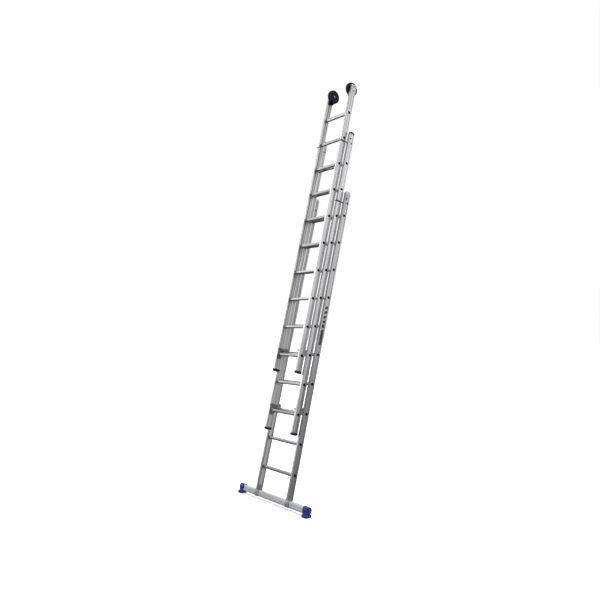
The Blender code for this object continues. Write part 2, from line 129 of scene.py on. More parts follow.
def spread(tree, value, low, high, to_low, to_high):
    """A value from one range carried into another."""
    node = add_node(tree, "ShaderNodeMapRange")
    for name, number in (("From Min", low), ("From Max", high), ("To Min", to_low), ("To Max", to_high)):
        node.inputs[name].default_value = number
    link(tree, value, node.inputs["Value"])
    return node.outputs["Result"]


def math_node(tree, operation, first, second):
    node = add_node(tree, "ShaderNodeMath", operation=operation)
    for socket, value in zip(node.inputs, (first, second)):
        if isinstance(value, (int, float)):
            socket.default_value = value
        else:
            link(tree, value, socket)
    return node.outputs["Value"]


def mix_colours(tree, factor, first, second):
    node = add_node(tree, "ShaderNodeMix", data_type="RGBA")
    link(tree, factor, node.inputs["Factor"])
    for socket, value in ((node.inputs["A"], first), (node.inputs["B"], second)):
        if isinstance(value, tuple):
            socket.default_value = (*value, 1.0)
        else:
            link(tree, value, socket)
    return node.outputs["Result"]


def new_material(name):
    material = bpy.data.materials.new(name)
    material.use_nodes = True
    tree = material.node_tree
    return material, tree, tree.nodes["Principled BSDF"]


def add_bump(tree, shader, height, distance, strength=1.0):
    bump = add_node(tree, "ShaderNodeBump")
    bump.inputs["Distance"].default_value = distance
    bump.inputs["Strength"].default_value = strength
    link(tree, height, bump.inputs["Height"])
    link(tree, bump.outputs["Normal"], shader.inputs["Normal"])


def shade(colour, factor):
    """A plain colour made darker or lighter."""
    return tuple(min(1.0, value * factor) for value in colour)


def aluminium(name, light, dark, roughness, along="Z", middle=None):
    """Mill-finish extrusion: die lines along it, cloudy oxide and fine specks.

    A stile's material is given the stile's middle, because painted shade and painted light fall differently
    on its webs and lips.
    """
    material, tree, shader = new_material(name)
    place = ladder_coordinates(tree)

    def stretch(factor):
        return (factor, 1, 1) if along == "X" else (1, 1, factor)

    lines = noise(tree, place, 900, stretch(0.006), detail=2.0)
    bands = noise(tree, place, 150, stretch(0.05), detail=2.0)
    clouds = noise(tree, place, 16, stretch(0.12), detail=4.0)
    specks = noise(tree, place, 300, detail=2.0)
    grain = math_node(tree, "ADD", math_node(tree, "MULTIPLY", lines, 0.6),
                      math_node(tree, "MULTIPLY", bands, 0.4))
    tone = mix_colours(tree, spread(tree, grain, 0.34, 0.66, 0, 1), dark, light)
    dulled = mix_colours(tree, spread(tree, clouds, 0.46, 0.74, 0, 0.26), tone, shade(dark, 0.66))
    speckled = mix_colours(tree, spread(tree, specks, 0.68, 0.78, 0, 0.16), dulled, shade(dark, 0.5))
    # painted shade and painted light by height on a stile's webs and lips
    if middle is not None:
        speckled = paint_web_shade_and_light(tree, place, speckled, dark, middle)
    link(tree, speckled, shader.inputs["Base Color"])
    uneven = math_node(tree, "ADD", spread(tree, grain, 0.3, 0.7, -0.06, 0.06),
                       spread(tree, clouds, 0.3, 0.75, -0.04, 0.14))
    link(tree, math_node(tree, "ADD", uneven, roughness), shader.inputs["Roughness"])
    shader.inputs["Metallic"].default_value = 1.0
    height = math_node(tree, "ADD", math_node(tree, "MULTIPLY", lines, 0.7),
                       math_node(tree, "MULTIPLY", specks, 0.3))
    add_bump(tree, shader, height, 0.00012, 0.6)
    return material


def paint_web_shade_and_light(tree, place, colour, dark, middle):
    """Paints shade on a stile's inner webs higher up and on its outer webs and lips near the floor, and
    paints light on the inner webs near the floor.  The middle is that of the section's right stile, in
    leaning coordinates."""
    split = add_node(tree, "ShaderNodeSeparateXYZ")
    link(tree, place, split.inputs["Vector"])
    inside = math_node(tree, "LESS_THAN", math_node(tree, "ABSOLUTE", split.outputs["X"], 0.0), middle.x)
    from_middle = math_node(tree, "ABSOLUTE", math_node(tree, "SUBTRACT", split.outputs["Y"], middle.y), 0.0)
    on_web = math_node(tree, "LESS_THAN", from_middle, WEB_GROOVE[0][0])
    height = split.outputs["Z"]
    inner = spread(tree, height, *INNER_WEB_PAINTED_SHADE)
    outer = spread(tree, height, *OUTER_WEB_PAINTED_SHADE)
    lips = spread(tree, height, *LIP_PAINTED_SHADE)
    webs = math_node(tree, "ADD", math_node(tree, "MULTIPLY", inside, inner),
                     math_node(tree, "MULTIPLY", math_node(tree, "SUBTRACT", 1.0, inside), outer))
    painted_shade_share = math_node(tree, "ADD", math_node(tree, "MULTIPLY", on_web, webs),
                       math_node(tree, "MULTIPLY", math_node(tree, "SUBTRACT", 1.0, on_web), lips))
    painted_light_share = spread(tree, height, *INNER_WEB_PAINTED_LIGHT)
    painted_light_share = math_node(tree, "MULTIPLY", painted_light_share, math_node(tree, "MULTIPLY", on_web, inside))
    # mixes in near-white painted light on the inner webs, then a darker painted shade
    return mix_colours(tree, painted_shade_share, mix_colours(tree, painted_light_share, colour, PAINTED_LIGHT_METAL), shade(dark, 0.25))


def zinc_steel(name, light, dark, roughness):
    """Zinc-plated steel: a faint spangle with duller patches."""
    material, tree, shader = new_material(name)
    place = ladder_coordinates(tree)
    spangle = add_node(tree, "ShaderNodeTexVoronoi")
    spangle.inputs["Scale"].default_value = 420
    link(tree, place, spangle.inputs["Vector"])
    flake = spread(tree, spangle.outputs["Distance"], 0.0, 0.8, 0, 1)
    stain = noise(tree, place, 60, detail=4.0)
    link(tree, mix_colours(tree, spread(tree, stain, 0.4, 0.66, 0, 0.6),
                           mix_colours(tree, flake, light, dark), dark), shader.inputs["Base Color"])
    link(tree, spread(tree, stain, 0.3, 0.7, roughness - 0.08, roughness + 0.16), shader.inputs["Roughness"])
    shader.inputs["Metallic"].default_value = 1.0
    add_bump(tree, shader, stain, 0.0001, 0.4)
    return material


def moulded(name, colour, worn, roughness, grain=0.00012, wear=0.35):
    """Moulded plastic or rubber: fine spark texture, uneven gloss and paler scuffs."""
    material, tree, shader = new_material(name)
    place = ladder_coordinates(tree)
    texture = noise(tree, place, 1500, detail=2.0)
    patches = noise(tree, place, 28, detail=5.0, roughness=0.6)
    scuffs = noise(tree, place, 70, (1, 0.25, 1), detail=6.0, roughness=0.7)
    tone = mix_colours(tree, spread(tree, patches, 0.3, 0.7, 0, 1), shade(colour, 0.72), shade(colour, 1.22))
    link(tree, mix_colours(tree, spread(tree, scuffs, 0.58, 0.74, 0, wear), tone, worn),
         shader.inputs["Base Color"])
    gloss = math_node(tree, "ADD", spread(tree, patches, 0.3, 0.7, -0.07, 0.07),
                      spread(tree, scuffs, 0.5, 0.75, 0, 0.16))
    link(tree, math_node(tree, "ADD", gloss, roughness), shader.inputs["Roughness"])
    shader.inputs["Specular IOR Level"].default_value = 0.28
    add_bump(tree, shader, texture, grain, 0.7)
    return material


# One extrusion in three copies; the base section's copy is darker, painted shade on the section nearest the
# floor
STILE_METAL = {
    section: aluminium(f"{section}_extrusion", (light, light, light + 0.01), (dark, dark, dark + 0.01), 0.33,
                       middle=sum(lean_box(f"{section}_right_stile"), Vector()) / 2)
    for section, light, dark in (("base", 0.72, 0.54), ("mid", 0.92, 0.74), ("top", 0.92, 0.74))}
RUNG_METAL = aluminium("rung_extrusion", (0.58, 0.58, 0.57), (0.43, 0.43, 0.43), 0.40, along="X")
BAR_METAL = aluminium("bar_extrusion", (0.68, 0.69, 0.71), (0.55, 0.56, 0.58), 0.42, along="X")
SADDLE_METAL = zinc_steel("saddle_steel", (0.40, 0.40, 0.42), (0.24, 0.24, 0.26), 0.44)
STRAP_METAL = zinc_steel("strap_steel", (0.30, 0.30, 0.31), (0.17, 0.17, 0.18), 0.44)
HOOK_METAL = zinc_steel("hook_steel", (0.44, 0.45, 0.44), (0.29, 0.30, 0.29), 0.52)
BOLT_METAL = zinc_steel("bolt_steel", (0.70, 0.70, 0.72), (0.48, 0.48, 0.50), 0.30)
FOOT_PLASTIC = moulded("blue_plastic", (0.016, 0.027, 0.185), (0.09, 0.13, 0.32), 0.32, wear=0.30)
SOLE_RUBBER = moulded("sole_rubber", (0.008, 0.012, 0.050), (0.04, 0.05, 0.09), 0.62, 0.0002)
NAVY_PLASTIC = moulded("navy_plastic", (0.006, 0.006, 0.040), (0.03, 0.03, 0.075), 0.42)
BLACK_PLASTIC = moulded("black_plastic", (0.003, 0.003, 0.004), (0.014, 0.014, 0.016), 0.58)
GREY_PLASTIC = moulded("grey_plastic", (0.60, 0.61, 0.62), (0.42, 0.42, 0.43), 0.45)
TYRE_RUBBER = moulded("tyre_rubber", (0.004, 0.004, 0.009), (0.018, 0.018, 0.026), 0.60, 0.0002)
LABEL_FILM = moulded("label_film", (0.030, 0.033, 0.040), (0.10, 0.10, 0.11), 0.38)


# ---- mesh helpers
def mesh_object(name, shape, matrix=None):
    """An object from a bmesh, with its mesh in the row frame."""
    bmesh.ops.recalc_face_normals(shape, faces=shape.faces)
    mesh = bpy.data.meshes.new(name)
    shape.to_mesh(mesh)
    shape.free()
    if matrix is not None:
        mesh.transform(matrix)
    item = bpy.data.objects.new(name, mesh)
    bpy.context.scene.collection.objects.link(item)
    return item


def apply_modifiers(item):
    """Turns an object's modifiers into plain mesh."""
    graph = bpy.context.evaluated_depsgraph_get()
    baked = bpy.data.meshes.new_from_object(item.evaluated_get(graph))
    item.modifiers.clear()
    old = item.data
    item.data = baked
    bpy.data.meshes.remove(old)


def cut(item, *cutters, operation="DIFFERENCE"):
    """Cuts or joins shapes exactly and removes the helpers."""
    for cutter in cutters:
        boolean = item.modifiers.new("cut", "BOOLEAN")
        boolean.object = cutter
        boolean.operation = operation
        boolean.solver = "EXACT"
    apply_modifiers(item)
    for cutter in cutters:
        mesh = cutter.data
        bpy.data.objects.remove(cutter)
        bpy.data.meshes.remove(mesh)


def bevel(item, width, segments=2, angle=30):
    rounding = item.modifiers.new("bevel", "BEVEL")
    rounding.width = width
    rounding.segments = segments
    rounding.limit_method = "ANGLE"
    rounding.angle_limit = math.radians(angle)
    apply_modifiers(item)


def ends_of(low, high, side):
    """A box's two X values, the one nearer the ladder's middle first."""
    return (low.x, high.x) if side > 0 else (high.x, low.x)


def finish(item, material, body, nodes=(), crease=34):
    """Shades a piece, gives it its material and ties it to the frame."""
    item.data.materials.clear()
    item.data.materials.append(material)
    for face in item.data.polygons:
        face.use_smooth = True
    item.data.set_sharp_from_angle(angle=math.radians(crease))
    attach(item, body)
    if nodes:
        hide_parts(*nodes)


def loft(shape, rings, closed=False):
    """Skins a list of rings of points and caps its two ends, unless it closes on itself."""
    made = [[shape.verts.new(point) for point in ring] for ring in rings]
    count = len(made[0])
    pairs = list(zip(made, made[1:])) + ([(made[-1], made[0])] if closed else [])
    for first, second in pairs:
        for index in range(count):
            following = (index + 1) % count
            shape.faces.new((first[index], first[following], second[following], second[index]))
    if not closed:
        shape.faces.new(list(reversed(made[0])))
        shape.faces.new(made[-1])


def turned(shape, profile, matrix, sides=24):
    """A turned solid about local Z from a closed profile of radius and height."""
    rings = []
    for radius, height in profile:
        if radius < 1e-7:
            rings.append([shape.verts.new(matrix @ Vector((0, 0, height)))])
            continue
        ring = []
        for index in range(sides):
            angle = 2 * math.pi * index / sides
            place = Vector((radius * math.cos(angle), radius * math.sin(angle), height))
            ring.append(shape.verts.new(matrix @ place))
        rings.append(ring)
    pairs = list(zip(rings, rings[1:]))
    if len(rings[0]) > 1:
        pairs.append((rings[-1], rings[0]))
    for first, second in pairs:
        for index in range(sides):
            following = (index + 1) % sides
            corners = [first[index % len(first)], first[following % len(first)],
                       second[following % len(second)], second[index % len(second)]]
            unique = list(dict.fromkeys(corners))
            if len(unique) > 2:
                shape.faces.new(unique)


def box(shape, low, high):
    size = Vector(high) - Vector(low)
    centre = (Vector(high) + Vector(low)) / 2
    bmesh.ops.create_cube(shape, size=1.0, matrix=Matrix.Translation(centre) @ Matrix.Diagonal((*size, 1.0)))


def rounded_rectangle(half_x, half_y, radius, steps=5):
    """Corner points of a rounded rectangle about the origin, in order."""
    points = []
    for corner, (sign_x, sign_y) in enumerate(((1, 1), (-1, 1), (-1, -1), (1, -1))):
        for step in range(steps + 1):
            angle = math.pi / 2 * (corner + step / steps)
            points.append((sign_x * (half_x - radius) + radius * math.cos(angle),
                           sign_y * (half_y - radius) + radius * math.sin(angle)))
    return points


def facing(place, axis):
    """A matrix that stands a piece made along +Z on a place, along an axis."""
    turn = Vector((0, 0, 1)).rotation_difference(Vector(axis)).to_matrix().to_4x4()
    return Matrix.Translation(place) @ turn


def hex_bolt(shape, place, axis, size=0.0065, washer=0.0105):
    """A washer and a chamfered hexagon head, standing on a face."""
    matrix = facing(place, axis) @ Matrix.Rotation(0.3, 4, "Z")
    thick = 0.0014
    turned(shape, ((0, -0.0002), (washer, -0.0002), (washer, thick * 0.7), (washer - 0.0005, thick),
                   (0, thick)), matrix, 28)
    head = size * 0.62
    turned(shape, ((0, thick - 0.0002), (size, thick - 0.0002), (size, thick + head * 0.78),
                   (size * 0.90, thick + head), (0, thick + head)), matrix, 6)


def rivet(shape, place, axis, radius=0.0042):
    """A domed rivet head with its small centre dimple."""
    matrix = facing(place, axis)
    height = 0.0016
    turned(shape, ((0, -0.0003), (radius, -0.0003), (radius, 0.0002), (radius * 0.86, height * 0.55),
                   (radius * 0.60, height * 0.88), (radius * 0.36, height), (radius * 0.30, height * 0.72),
                   (0, height * 0.66)), matrix, 20)


# ---- stiles
FLANGE_ROUND = 0.0034
OUTER_RECESS = 0.0003
STILE_WALL = 0.0017
CORE_INSET = 0.0048
HOLE_RADIUS = 0.0110
RUNG_AXIS_ABOVE_BOTTOM = 0.0145


def arc(centre, radius, start, end, steps):
    return [(centre[0] + radius * math.cos(math.radians(start + (end - start) * step / steps)),
             centre[1] + radius * math.sin(math.radians(start + (end - start) * step / steps)))
            for step in range(steps + 1)]


def stile_outline(width, depth):
    """A stile's section, in distance out from its inner face and in depth."""
    half = depth / 2
    rear = [(drop, y) for y, drop in WEB_CROWN + WEB_GROOVE]
    rear.append((0.0, 0.0210))
    rear += arc((FLANGE_ROUND, half - FLANGE_ROUND), FLANGE_ROUND, 180, 90, 4)
    for groove in (0.0080, 0.0155):
        rear += [(groove, half), (groove + 0.0005, half - 0.0006), (groove + 0.0013, half - 0.0006),
                 (groove + 0.0018, half)]
    rear += arc((width - FLANGE_ROUND, half - FLANGE_ROUND), FLANGE_ROUND, 90, 0, 4)
    rear.append((width, 0.0210))
    rear += [(width - drop, y) for y, drop in reversed(WEB_CROWN + WEB_GROOVE)]
    return rear + [(x, -y) for x, y in reversed(rear)]


def web_drop(y):
    """How far a stile's crowned web lies below its lips at a distance from its middle."""
    across = ((0.0, 0.0002),) + WEB_CROWN
    for (near, near_drop), (far, far_drop) in zip(across, across[1:]):
        if abs(y) <= far:
            return near_drop + (far_drop - near_drop) * (abs(y) - near) / (far - near)
    return across[-1][1]


def rung_outline():
    """A rung's section in depth and height about its axis: a ribbed tread over a rounded belly."""
    top, groove = 0.0130, 0.0119
    outline = [(0.0150, -0.0022)] + arc((0.0113, 0.0112), 0.0018, 10, 75, 3)
    ribs = 7
    pitch = 0.0220 / ribs
    for rib in range(ribs):
        start = 0.0110 - rib * pitch
        outline += [(start, top), (start - pitch * 0.52, top)]
        if rib < ribs - 1:
            outline += [(start - pitch * 0.62, groove), (start - pitch * 0.90, groove)]
    outline += arc((-0.0113, 0.0112), 0.0018, 105, 170, 3)
    outline += [(-0.0150, -0.0022), (-0.0147, -0.0045)]
    outline += arc((-0.0070, -0.0080), 0.0064, 205, 270, 4)
    outline += arc((0.0070, -0.0080), 0.0064, 270, 335, 4)
    outline.append((0.0147, -0.0045))
    return outline


def rung_place(section, number):
    low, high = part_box(f"{section}_rung_{number:02d}")
    return (low.y + high.y) / 2, low.z + RUNG_AXIS_ABOVE_BOTTOM, high.x


def make_stile(section, side_name):
    side = SIDES[side_name]
    node = f"{section}_{side_name}_stile"
    low, high = lean_box(node)
    inner, outer = ends_of(low, high, side)
    width, depth, middle = high.x - low.x, high.y - low.y, (low.y + high.y) / 2
    shape = bmesh.new()
    outline = stile_outline(width, depth)
    rings = [[(inner + side * u, middle + v, z) for u, v in outline] for z in (low.z, high.z)]
    loft(shape, rings)
    stile = mesh_object(f"{node}_extrusion", shape, LEANING)
    core = bmesh.new()
    box(core, (low.x + CORE_INSET, low.y + STILE_WALL, low.z - 0.01),
        (high.x - CORE_INSET, high.y - STILE_WALL, high.z + 0.01))
    holes = bmesh.new()
    slots = bmesh.new()
    half_width = width / 2
    for number in range(1, RUNGS + 1):
        y, z, _ = rung_place(section, number)
        through = facing((outer - side * half_width * 0.5, y, z), (side, 0, 0))
        turned(holes, ((0, -half_width * 0.4), (HOLE_RADIUS, -half_width * 0.4), (HOLE_RADIUS, 0.02),
                       (0, 0.02)),
               through, 32)
        outline = [(a * 1.02, b * 1.02) for a, b in rung_outline()]
        loft(slots, [[(x, y + a, z + b) for a, b in outline]
                     for x in (inner - side * 0.01, inner + side * half_width)])
    cut(stile, mesh_object("core", core, LEANING), mesh_object("holes", holes), mesh_object("slots", slots))
    finish(stile, STILE_METAL[section], f"{section}_section", [node])


def make_rung(section, number):
    node = f"{section}_rung_{number:02d}"
    y, z, half = rung_place(section, number)
    outline = rung_outline()
    inside = [(a * 0.88, (b if b < 0 else min(b, 0.0119)) * 0.88) for a, b in outline]
    shape = bmesh.new()
    rings = [[(x, y + a, z + b) for a, b in outline] for x in (-half, half)]
    rings += [[(x, y + a, z + b) for a, b in inside] for x in (half, -half)]
    loft(shape, rings, closed=True)
    for side_name, side in SIDES.items():
        inner, _ = ends_of(*stile_box(section, side_name), side)
        bead = []
        for u, grow in ((0.0024, 0.0002), (0.0024, 0.0030), (0.0002, 0.0030), (-0.0010, 0.0022),
                        (-0.0016, 0.0002)):
            bead.append([(inner + side * u, y + a + math.copysign(grow, a), z + b + math.copysign(grow, b))
                         for a, b in outline])
        loft(shape, bead, closed=True)
    finish(mesh_object(f"{node}_ribbed", shape), RUNG_METAL, f"{section}_section", [node])


def make_rung_ends(section, side_name):
    """Black cupped grommets that close the rungs' ends in a stile's outer face."""
    side = SIDES[side_name]
    _, outer = ends_of(*stile_box(section, side_name), side)
    shape = bmesh.new()
    for number in range(1, RUNGS + 1):
        y, z, _ = rung_place(section, number)
        seat = UPRIGHT @ Vector((0, y, z))
        matrix = facing((outer, seat.y, seat.z), (side, 0, 0))
        turned(shape, ((0, -0.0075), (0.0090, -0.0070), (0.0101, -0.0058), (0.0106, -0.0006), (0.0112, 0.0),
                       (0.0136, -0.0002), (0.0146, -0.0008), (0.0146, -0.0030), (0.0109, -0.0030),
                       (0.0109, -0.0090), (0, -0.0090)), matrix, 32)
    ends = mesh_object(f"{section}_{side_name}_rung_ends", shape, LEANING)
    finish(ends, BLACK_PLASTIC, f"{section}_section")


# ---- stabiliser bar and feet
BAR_HALF_HEIGHT = 0.0290
BAR_HALF_DEPTH = 0.0200
SADDLE_THICK = 0.0030
SADDLE_HALF_WIDTH = 0.0280
PAD_HALF_DEPTH = 0.0390
SOCKET_WALL = 0.0110
WAIST_HALF_DEPTH = 0.0226
SCREW_ABOVE_AXIS = 0.0020

# A foot's socket along the bar, from its mouth to its rounded outer end, and the size of its section there.
SOCKET_STATIONS = ((-1.00, 0.93), (-0.97, 0.98), (-0.90, 1.0), (-0.80, 1.0), (-0.75, 0.96), (-0.40, 0.965),
                   (0.20, 0.975), (0.50, 0.965), (0.70, 0.92), (0.84, 0.84), (0.93, 0.73), (0.98, 0.60),
                   (1.00, 0.48))
# Its shoe: height, inset on each side and corner radius.
SHOE_STATIONS = ((0.0060, 0.0034, 0.0034, 0.022), (0.0085, 0.0008, 0.0008, 0.024), (0.0125, 0.0, 0.0, 0.025),
                 (0.0165, 0.0010, 0.0008, 0.025), (0.0200, 0.0036, 0.0036, 0.024),
                 (0.0228, 0.0080, 0.0080, 0.022), (0.0248, 0.0130, 0.0130, 0.018),
                 (0.0260, 0.0180, 0.0180, 0.014))


def bar_outline():
    """The bar's section in depth and height, with a shallow channel along its front and rear."""
    corner = 0.0050
    quarter = [(BAR_HALF_DEPTH - 0.0009, 0.0050), (BAR_HALF_DEPTH, 0.0062)]
    quarter += arc((BAR_HALF_DEPTH - corner, BAR_HALF_HEIGHT - corner), corner, 0, 90, 5)
    quarter += [(0.0060, BAR_HALF_HEIGHT), (0.0054, BAR_HALF_HEIGHT - 0.0006)]
    upper = quarter + [(-y, z) for y, z in reversed(quarter)]
    return upper + [(-y, -z) for y, z in upper]


def make_bar():
    low, high = lean_box("stabiliser_bar")
    axis_z = low.z + SADDLE_THICK + BAR_HALF_HEIGHT
    axis_y = (low.y + high.y) / 2
    outline = bar_outline()
    inside = [(y * 0.89, z * 0.93) for y, z in outline]
    shape = bmesh.new()
    rings = [[(x, axis_y + y, axis_z + z) for y, z in outline] for x in (low.x, high.x)]
    rings += [[(x, axis_y + y, axis_z + z) for y, z in inside] for x in (high.x, low.x)]
    loft(shape, rings, closed=True)
    bar = mesh_object("stabiliser_bar_tube", shape, LEANING)
    finish(bar, BAR_METAL, "base_section", ["stabiliser_bar"])
    hardware = bmesh.new()
    brackets = bmesh.new()
    for side_name, side in SIDES.items():
        stile_low, stile_high = lean_box(f"base_{side_name}_stile")
        middle = (stile_low.x + stile_high.x) / 2
        inner, outer = ends_of(stile_low, stile_high, side)
        make_saddle(side_name, middle, axis_y, axis_z)
        make_bracket(brackets, side, inner, axis_y, axis_z)
        for x, direction in ((outer - side * OUTER_RECESS, side), (inner - side * 0.003, -side)):
            hex_bolt(hardware, (x, axis_y, axis_z + BAR_HALF_HEIGHT + 0.030), (direction, 0, 0))
        for offset in (-0.016, 0.016):
            rivet(hardware,
                  (middle + offset, axis_y - BAR_HALF_DEPTH - SADDLE_THICK + 0.0001, axis_z + 0.012),
                  (0, -1, 0))
        place = (middle + side * 0.078, axis_y - BAR_HALF_DEPTH + 0.0009, axis_z)
        rivet(hardware, place, (0, -1, 0), 0.0046)
    plates = mesh_object("saddle_brackets", brackets, LEANING)
    bevel(plates, 0.0007)
    finish(plates, SADDLE_METAL, "base_section")
    finish(mesh_object("saddle_bolts", hardware, LEANING), BOLT_METAL, "base_section")


def make_saddle(side_name, middle, axis_y, axis_z):
    """A bent strap that cradles the bar, with its two ears ending below the bar's top."""
    inside_y, inside_z = BAR_HALF_DEPTH + 0.0001, BAR_HALF_HEIGHT + 0.0001
    corner = 0.0052
    top = BAR_HALF_HEIGHT - 0.006

    def path(offset):
        points = [(inside_y + offset, top)]
        points += arc((inside_y - corner, -inside_z + corner), corner + offset, 0, -90, 6)
        points += arc((-inside_y + corner, -inside_z + corner), corner + offset, -90, -180, 6)
        points.append((-inside_y - offset, top))
        return points

    thick = SADDLE_THICK - 0.0001
    ring = path(thick) + list(reversed(path(0.0)))
    shape = bmesh.new()
    loft(shape, [[(middle + x, axis_y + y, axis_z + z) for y, z in ring]
                 for x in (-SADDLE_HALF_WIDTH, -SADDLE_HALF_WIDTH + 0.004, SADDLE_HALF_WIDTH - 0.004,
                           SADDLE_HALF_WIDTH)])
    saddle = mesh_object(f"{side_name}_saddle", shape, LEANING)
    bevel(saddle, 0.0006, 2, 50)
    finish(saddle, SADDLE_METAL, "base_section")


def make_bracket(shape, side, inner, axis_y, axis_z):
    """An angle bracket between the stile's inner face and the top of the bar."""
    top = axis_z + BAR_HALF_HEIGHT
    thick = 0.0030
    reach = 0.0260
    rise = 0.0500
    profile = [(0.0, 0.0002), (0.0, rise), (-thick, rise), (-thick, thick + 0.003)]
    profile += [(-thick - 0.001, thick + 0.001), (-thick - 0.003, thick), (-reach, thick), (-reach, 0.0002)]
    rings = [[(inner + side * u, axis_y + y, top + z) for u, z in profile]
             for y in (-0.0165, 0.0165)]
    loft(shape, rings)


def socket_outline(half_y, top):
    """A foot's upper lobe in depth and height about the bar: full above, drawn in to a waist below."""
    centre = 0.0040
    waist = WAIST_HALF_DEPTH
    power = 2.6
    rear = []
    for step in range(13):
        angle = math.pi / 2 * step / 12
        rear.append((half_y * max(math.sin(angle), 1e-6) ** (2 / power),
                     centre + (top - centre) * max(math.cos(angle), 0.0) ** (2 / power)))
    for step in range(1, 9):
        z = centre - 0.024 * step / 8
        rear.append((waist + (half_y - waist) * (0.5 + 0.5 * math.cos(math.pi * step / 8)), z))
    rear += [(waist, -0.0290), (waist - 0.003, -0.0340)]
    return rear[1:] + [(-y, z) for y, z in reversed(rear)]


def make_foot(side_name):
    """Two moulded lobes: a socket over the bar's end and a splayed shoe with a ribbed sole."""
    side = SIDES[side_name]
    node = f"{side_name}_foot"
    pad_low, pad_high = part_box(node)
    _, lean_high = lean_box(node)
    bar_low, bar_high = lean_box("stabiliser_bar")
    axis_z = bar_low.z + SADDLE_THICK + BAR_HALF_HEIGHT
    axis_y = (bar_low.y + bar_high.y) / 2
    centre_x = (pad_low.x + pad_high.x) / 2
    half_x = (pad_high.x - pad_low.x) / 2
    half_y = PAD_HALF_DEPTH
    pad_y = pad_low.y + half_y
    top = lean_high.z - axis_z
    socket_half_y = BAR_HALF_DEPTH + SOCKET_WALL
    socket_half_x = half_x - 0.0050
    socket = bmesh.new()
    rings = []
    for along, scale in SOCKET_STATIONS:
        x = centre_x + side * along * socket_half_x
        rings.append([LEANING @ Vector((x, axis_y + y * scale, axis_z + z * scale))
                      for y, z in socket_outline(socket_half_y, top)])
    loft(socket, rings)
    foot = mesh_object(f"{node}_moulding", socket)
    shoe = bmesh.new()
    rings = []
    for z, inset_x, inset_y, radius in SHOE_STATIONS:
        ring = rounded_rectangle(half_x - inset_x, half_y - inset_y, radius, 6)
        rings.append([(centre_x + x, pad_y + y, z) for x, y in ring])
    loft(shoe, rings)
    cut(foot, mesh_object("shoe", shoe), operation="UNION")
    blend = foot.modifiers.new("blend", "REMESH")
    blend.mode = "VOXEL"
    blend.voxel_size = 0.0013
    relax = foot.modifiers.new("relax", "SMOOTH")
    relax.factor = 0.5
    relax.iterations = 5
    apply_modifiers(foot)
    pocket = bmesh.new()
    mouth = centre_x - side * (socket_half_x + 0.01)
    end = bar_high.x + CAD_GAP if side > 0 else bar_low.x - CAD_GAP
    ring = rounded_rectangle(BAR_HALF_DEPTH + CAD_GAP, BAR_HALF_HEIGHT + CAD_GAP, 0.0050, 4)
    loft(pocket, [[LEANING @ Vector((x, axis_y + y, axis_z + z)) for y, z in ring] for x in (mouth, end)])
    ribs = bmesh.new()
    for offset in (-0.024, -0.012, 0.0, 0.012, 0.024):
        for direction in (-1, 1):
            place = Matrix.Translation((centre_x + offset, pad_y + direction * half_y, 0.0125))
            turned(ribs, ((0, -0.0125), (0.0016, -0.0125), (0.0016, 0.0125), (0, 0.0125)), place, 10)
    cut(foot, mesh_object("pocket", pocket), mesh_object("ribs", ribs))
    finish(foot, FOOT_PLASTIC, "base_section", [node], crease=50)
    make_sole(side_name, centre_x, pad_y, half_x, half_y)
    screws = bmesh.new()
    place = LEANING @ Vector((centre_x - side * 0.010, axis_y - socket_half_y + 0.0008,
                              axis_z + SCREW_ABOVE_AXIS))
    matrix = facing(place, LEANING.to_3x3() @ Vector((0, -1, 0)))
    turned(screws, ((0, -0.0010), (0.0052, -0.0010), (0.0052, 0.0004), (0.0046, 0.0014), (0.0030, 0.0019),
                    (0.0020, 0.0019), (0.0016, 0.0008), (0, 0.0008)), matrix)
    finish(mesh_object(f"{node}_screw", screws), NAVY_PLASTIC, "base_section")


def make_sole(side_name, centre_x, centre_y, half_x, half_y):
    """A rubber sole under the shoe, with tread bars across it."""
    shape = bmesh.new()
    rings = []
    for z, inset in ((0.0000, 0.0052), (0.0010, 0.0040), (0.0050, 0.0034), (0.0085, 0.0060)):
        ring = rounded_rectangle(half_x - inset, half_y - inset, 0.018, 6)
        rings.append([(centre_x + x, centre_y + y, z) for x, y in ring])
    loft(shape, rings)
    sole = mesh_object(f"{side_name}_foot_sole", shape)
    grooves = bmesh.new()
    for index in range(-4, 5):
        y = centre_y + index * 0.0076
        box(grooves, (centre_x - half_x, y - 0.0011, -0.002), (centre_x + half_x, y + 0.0011, 0.0030))
    cut(sole, mesh_object("grooves", grooves))
    finish(sole, SOLE_RUBBER, "base_section")


# ---- caps
def make_bottom_cap(section, side_name):
    """A moulded cup over the stile's lower end, rounded under and beaded round its mouth."""
    node = f"{section}_{side_name}_bottom_cap"
    low, high = lean_box(node)
    centre = (low + high) / 2
    half_x, half_y = (high.x - low.x) / 2, (high.y - low.y) / 2
    height = high.z - low.z
    stile_low, stile_high = stile_box(section, side_name)
    wall = half_x - (stile_high.x - stile_low.x) / 2 - CAD_GAP
    floor = stile_low.z - CAD_GAP - low.z
    rings = []
    # a boat-shaped underside, the beaded wall, then the mouth and the inside
    for step in range(7):
        angle = math.pi / 2 * step / 6
        rings.append(((height * 0.46) * (1 - math.cos(angle)), (1 - math.sin(angle)) * 0.0075,
                      (1 - math.sin(angle)) * 0.0200))
    rings += [(height - 0.0060, 0.0, 0.0), (height - 0.0050, 0.0006, 0.0006), (height - 0.0040, 0.0, 0.0),
              (height - 0.0006, 0.0, 0.0), (height, 0.0006, 0.0006), (height, wall, wall),
              (floor, wall, wall)]
    shape = bmesh.new()
    loft(shape, [[(centre.x + x, centre.y + y, low.z + z)
                  for x, y in rounded_rectangle(half_x - inset_x, half_y - inset_y,
                                                0.0031 if inset_x == wall else 0.0055, 5)]
                 for z, inset_x, inset_y in rings])
    cap = mesh_object(f"{node}_moulding", shape, LEANING)
    finish(cap, NAVY_PLASTIC, f"{section}_section", [node])


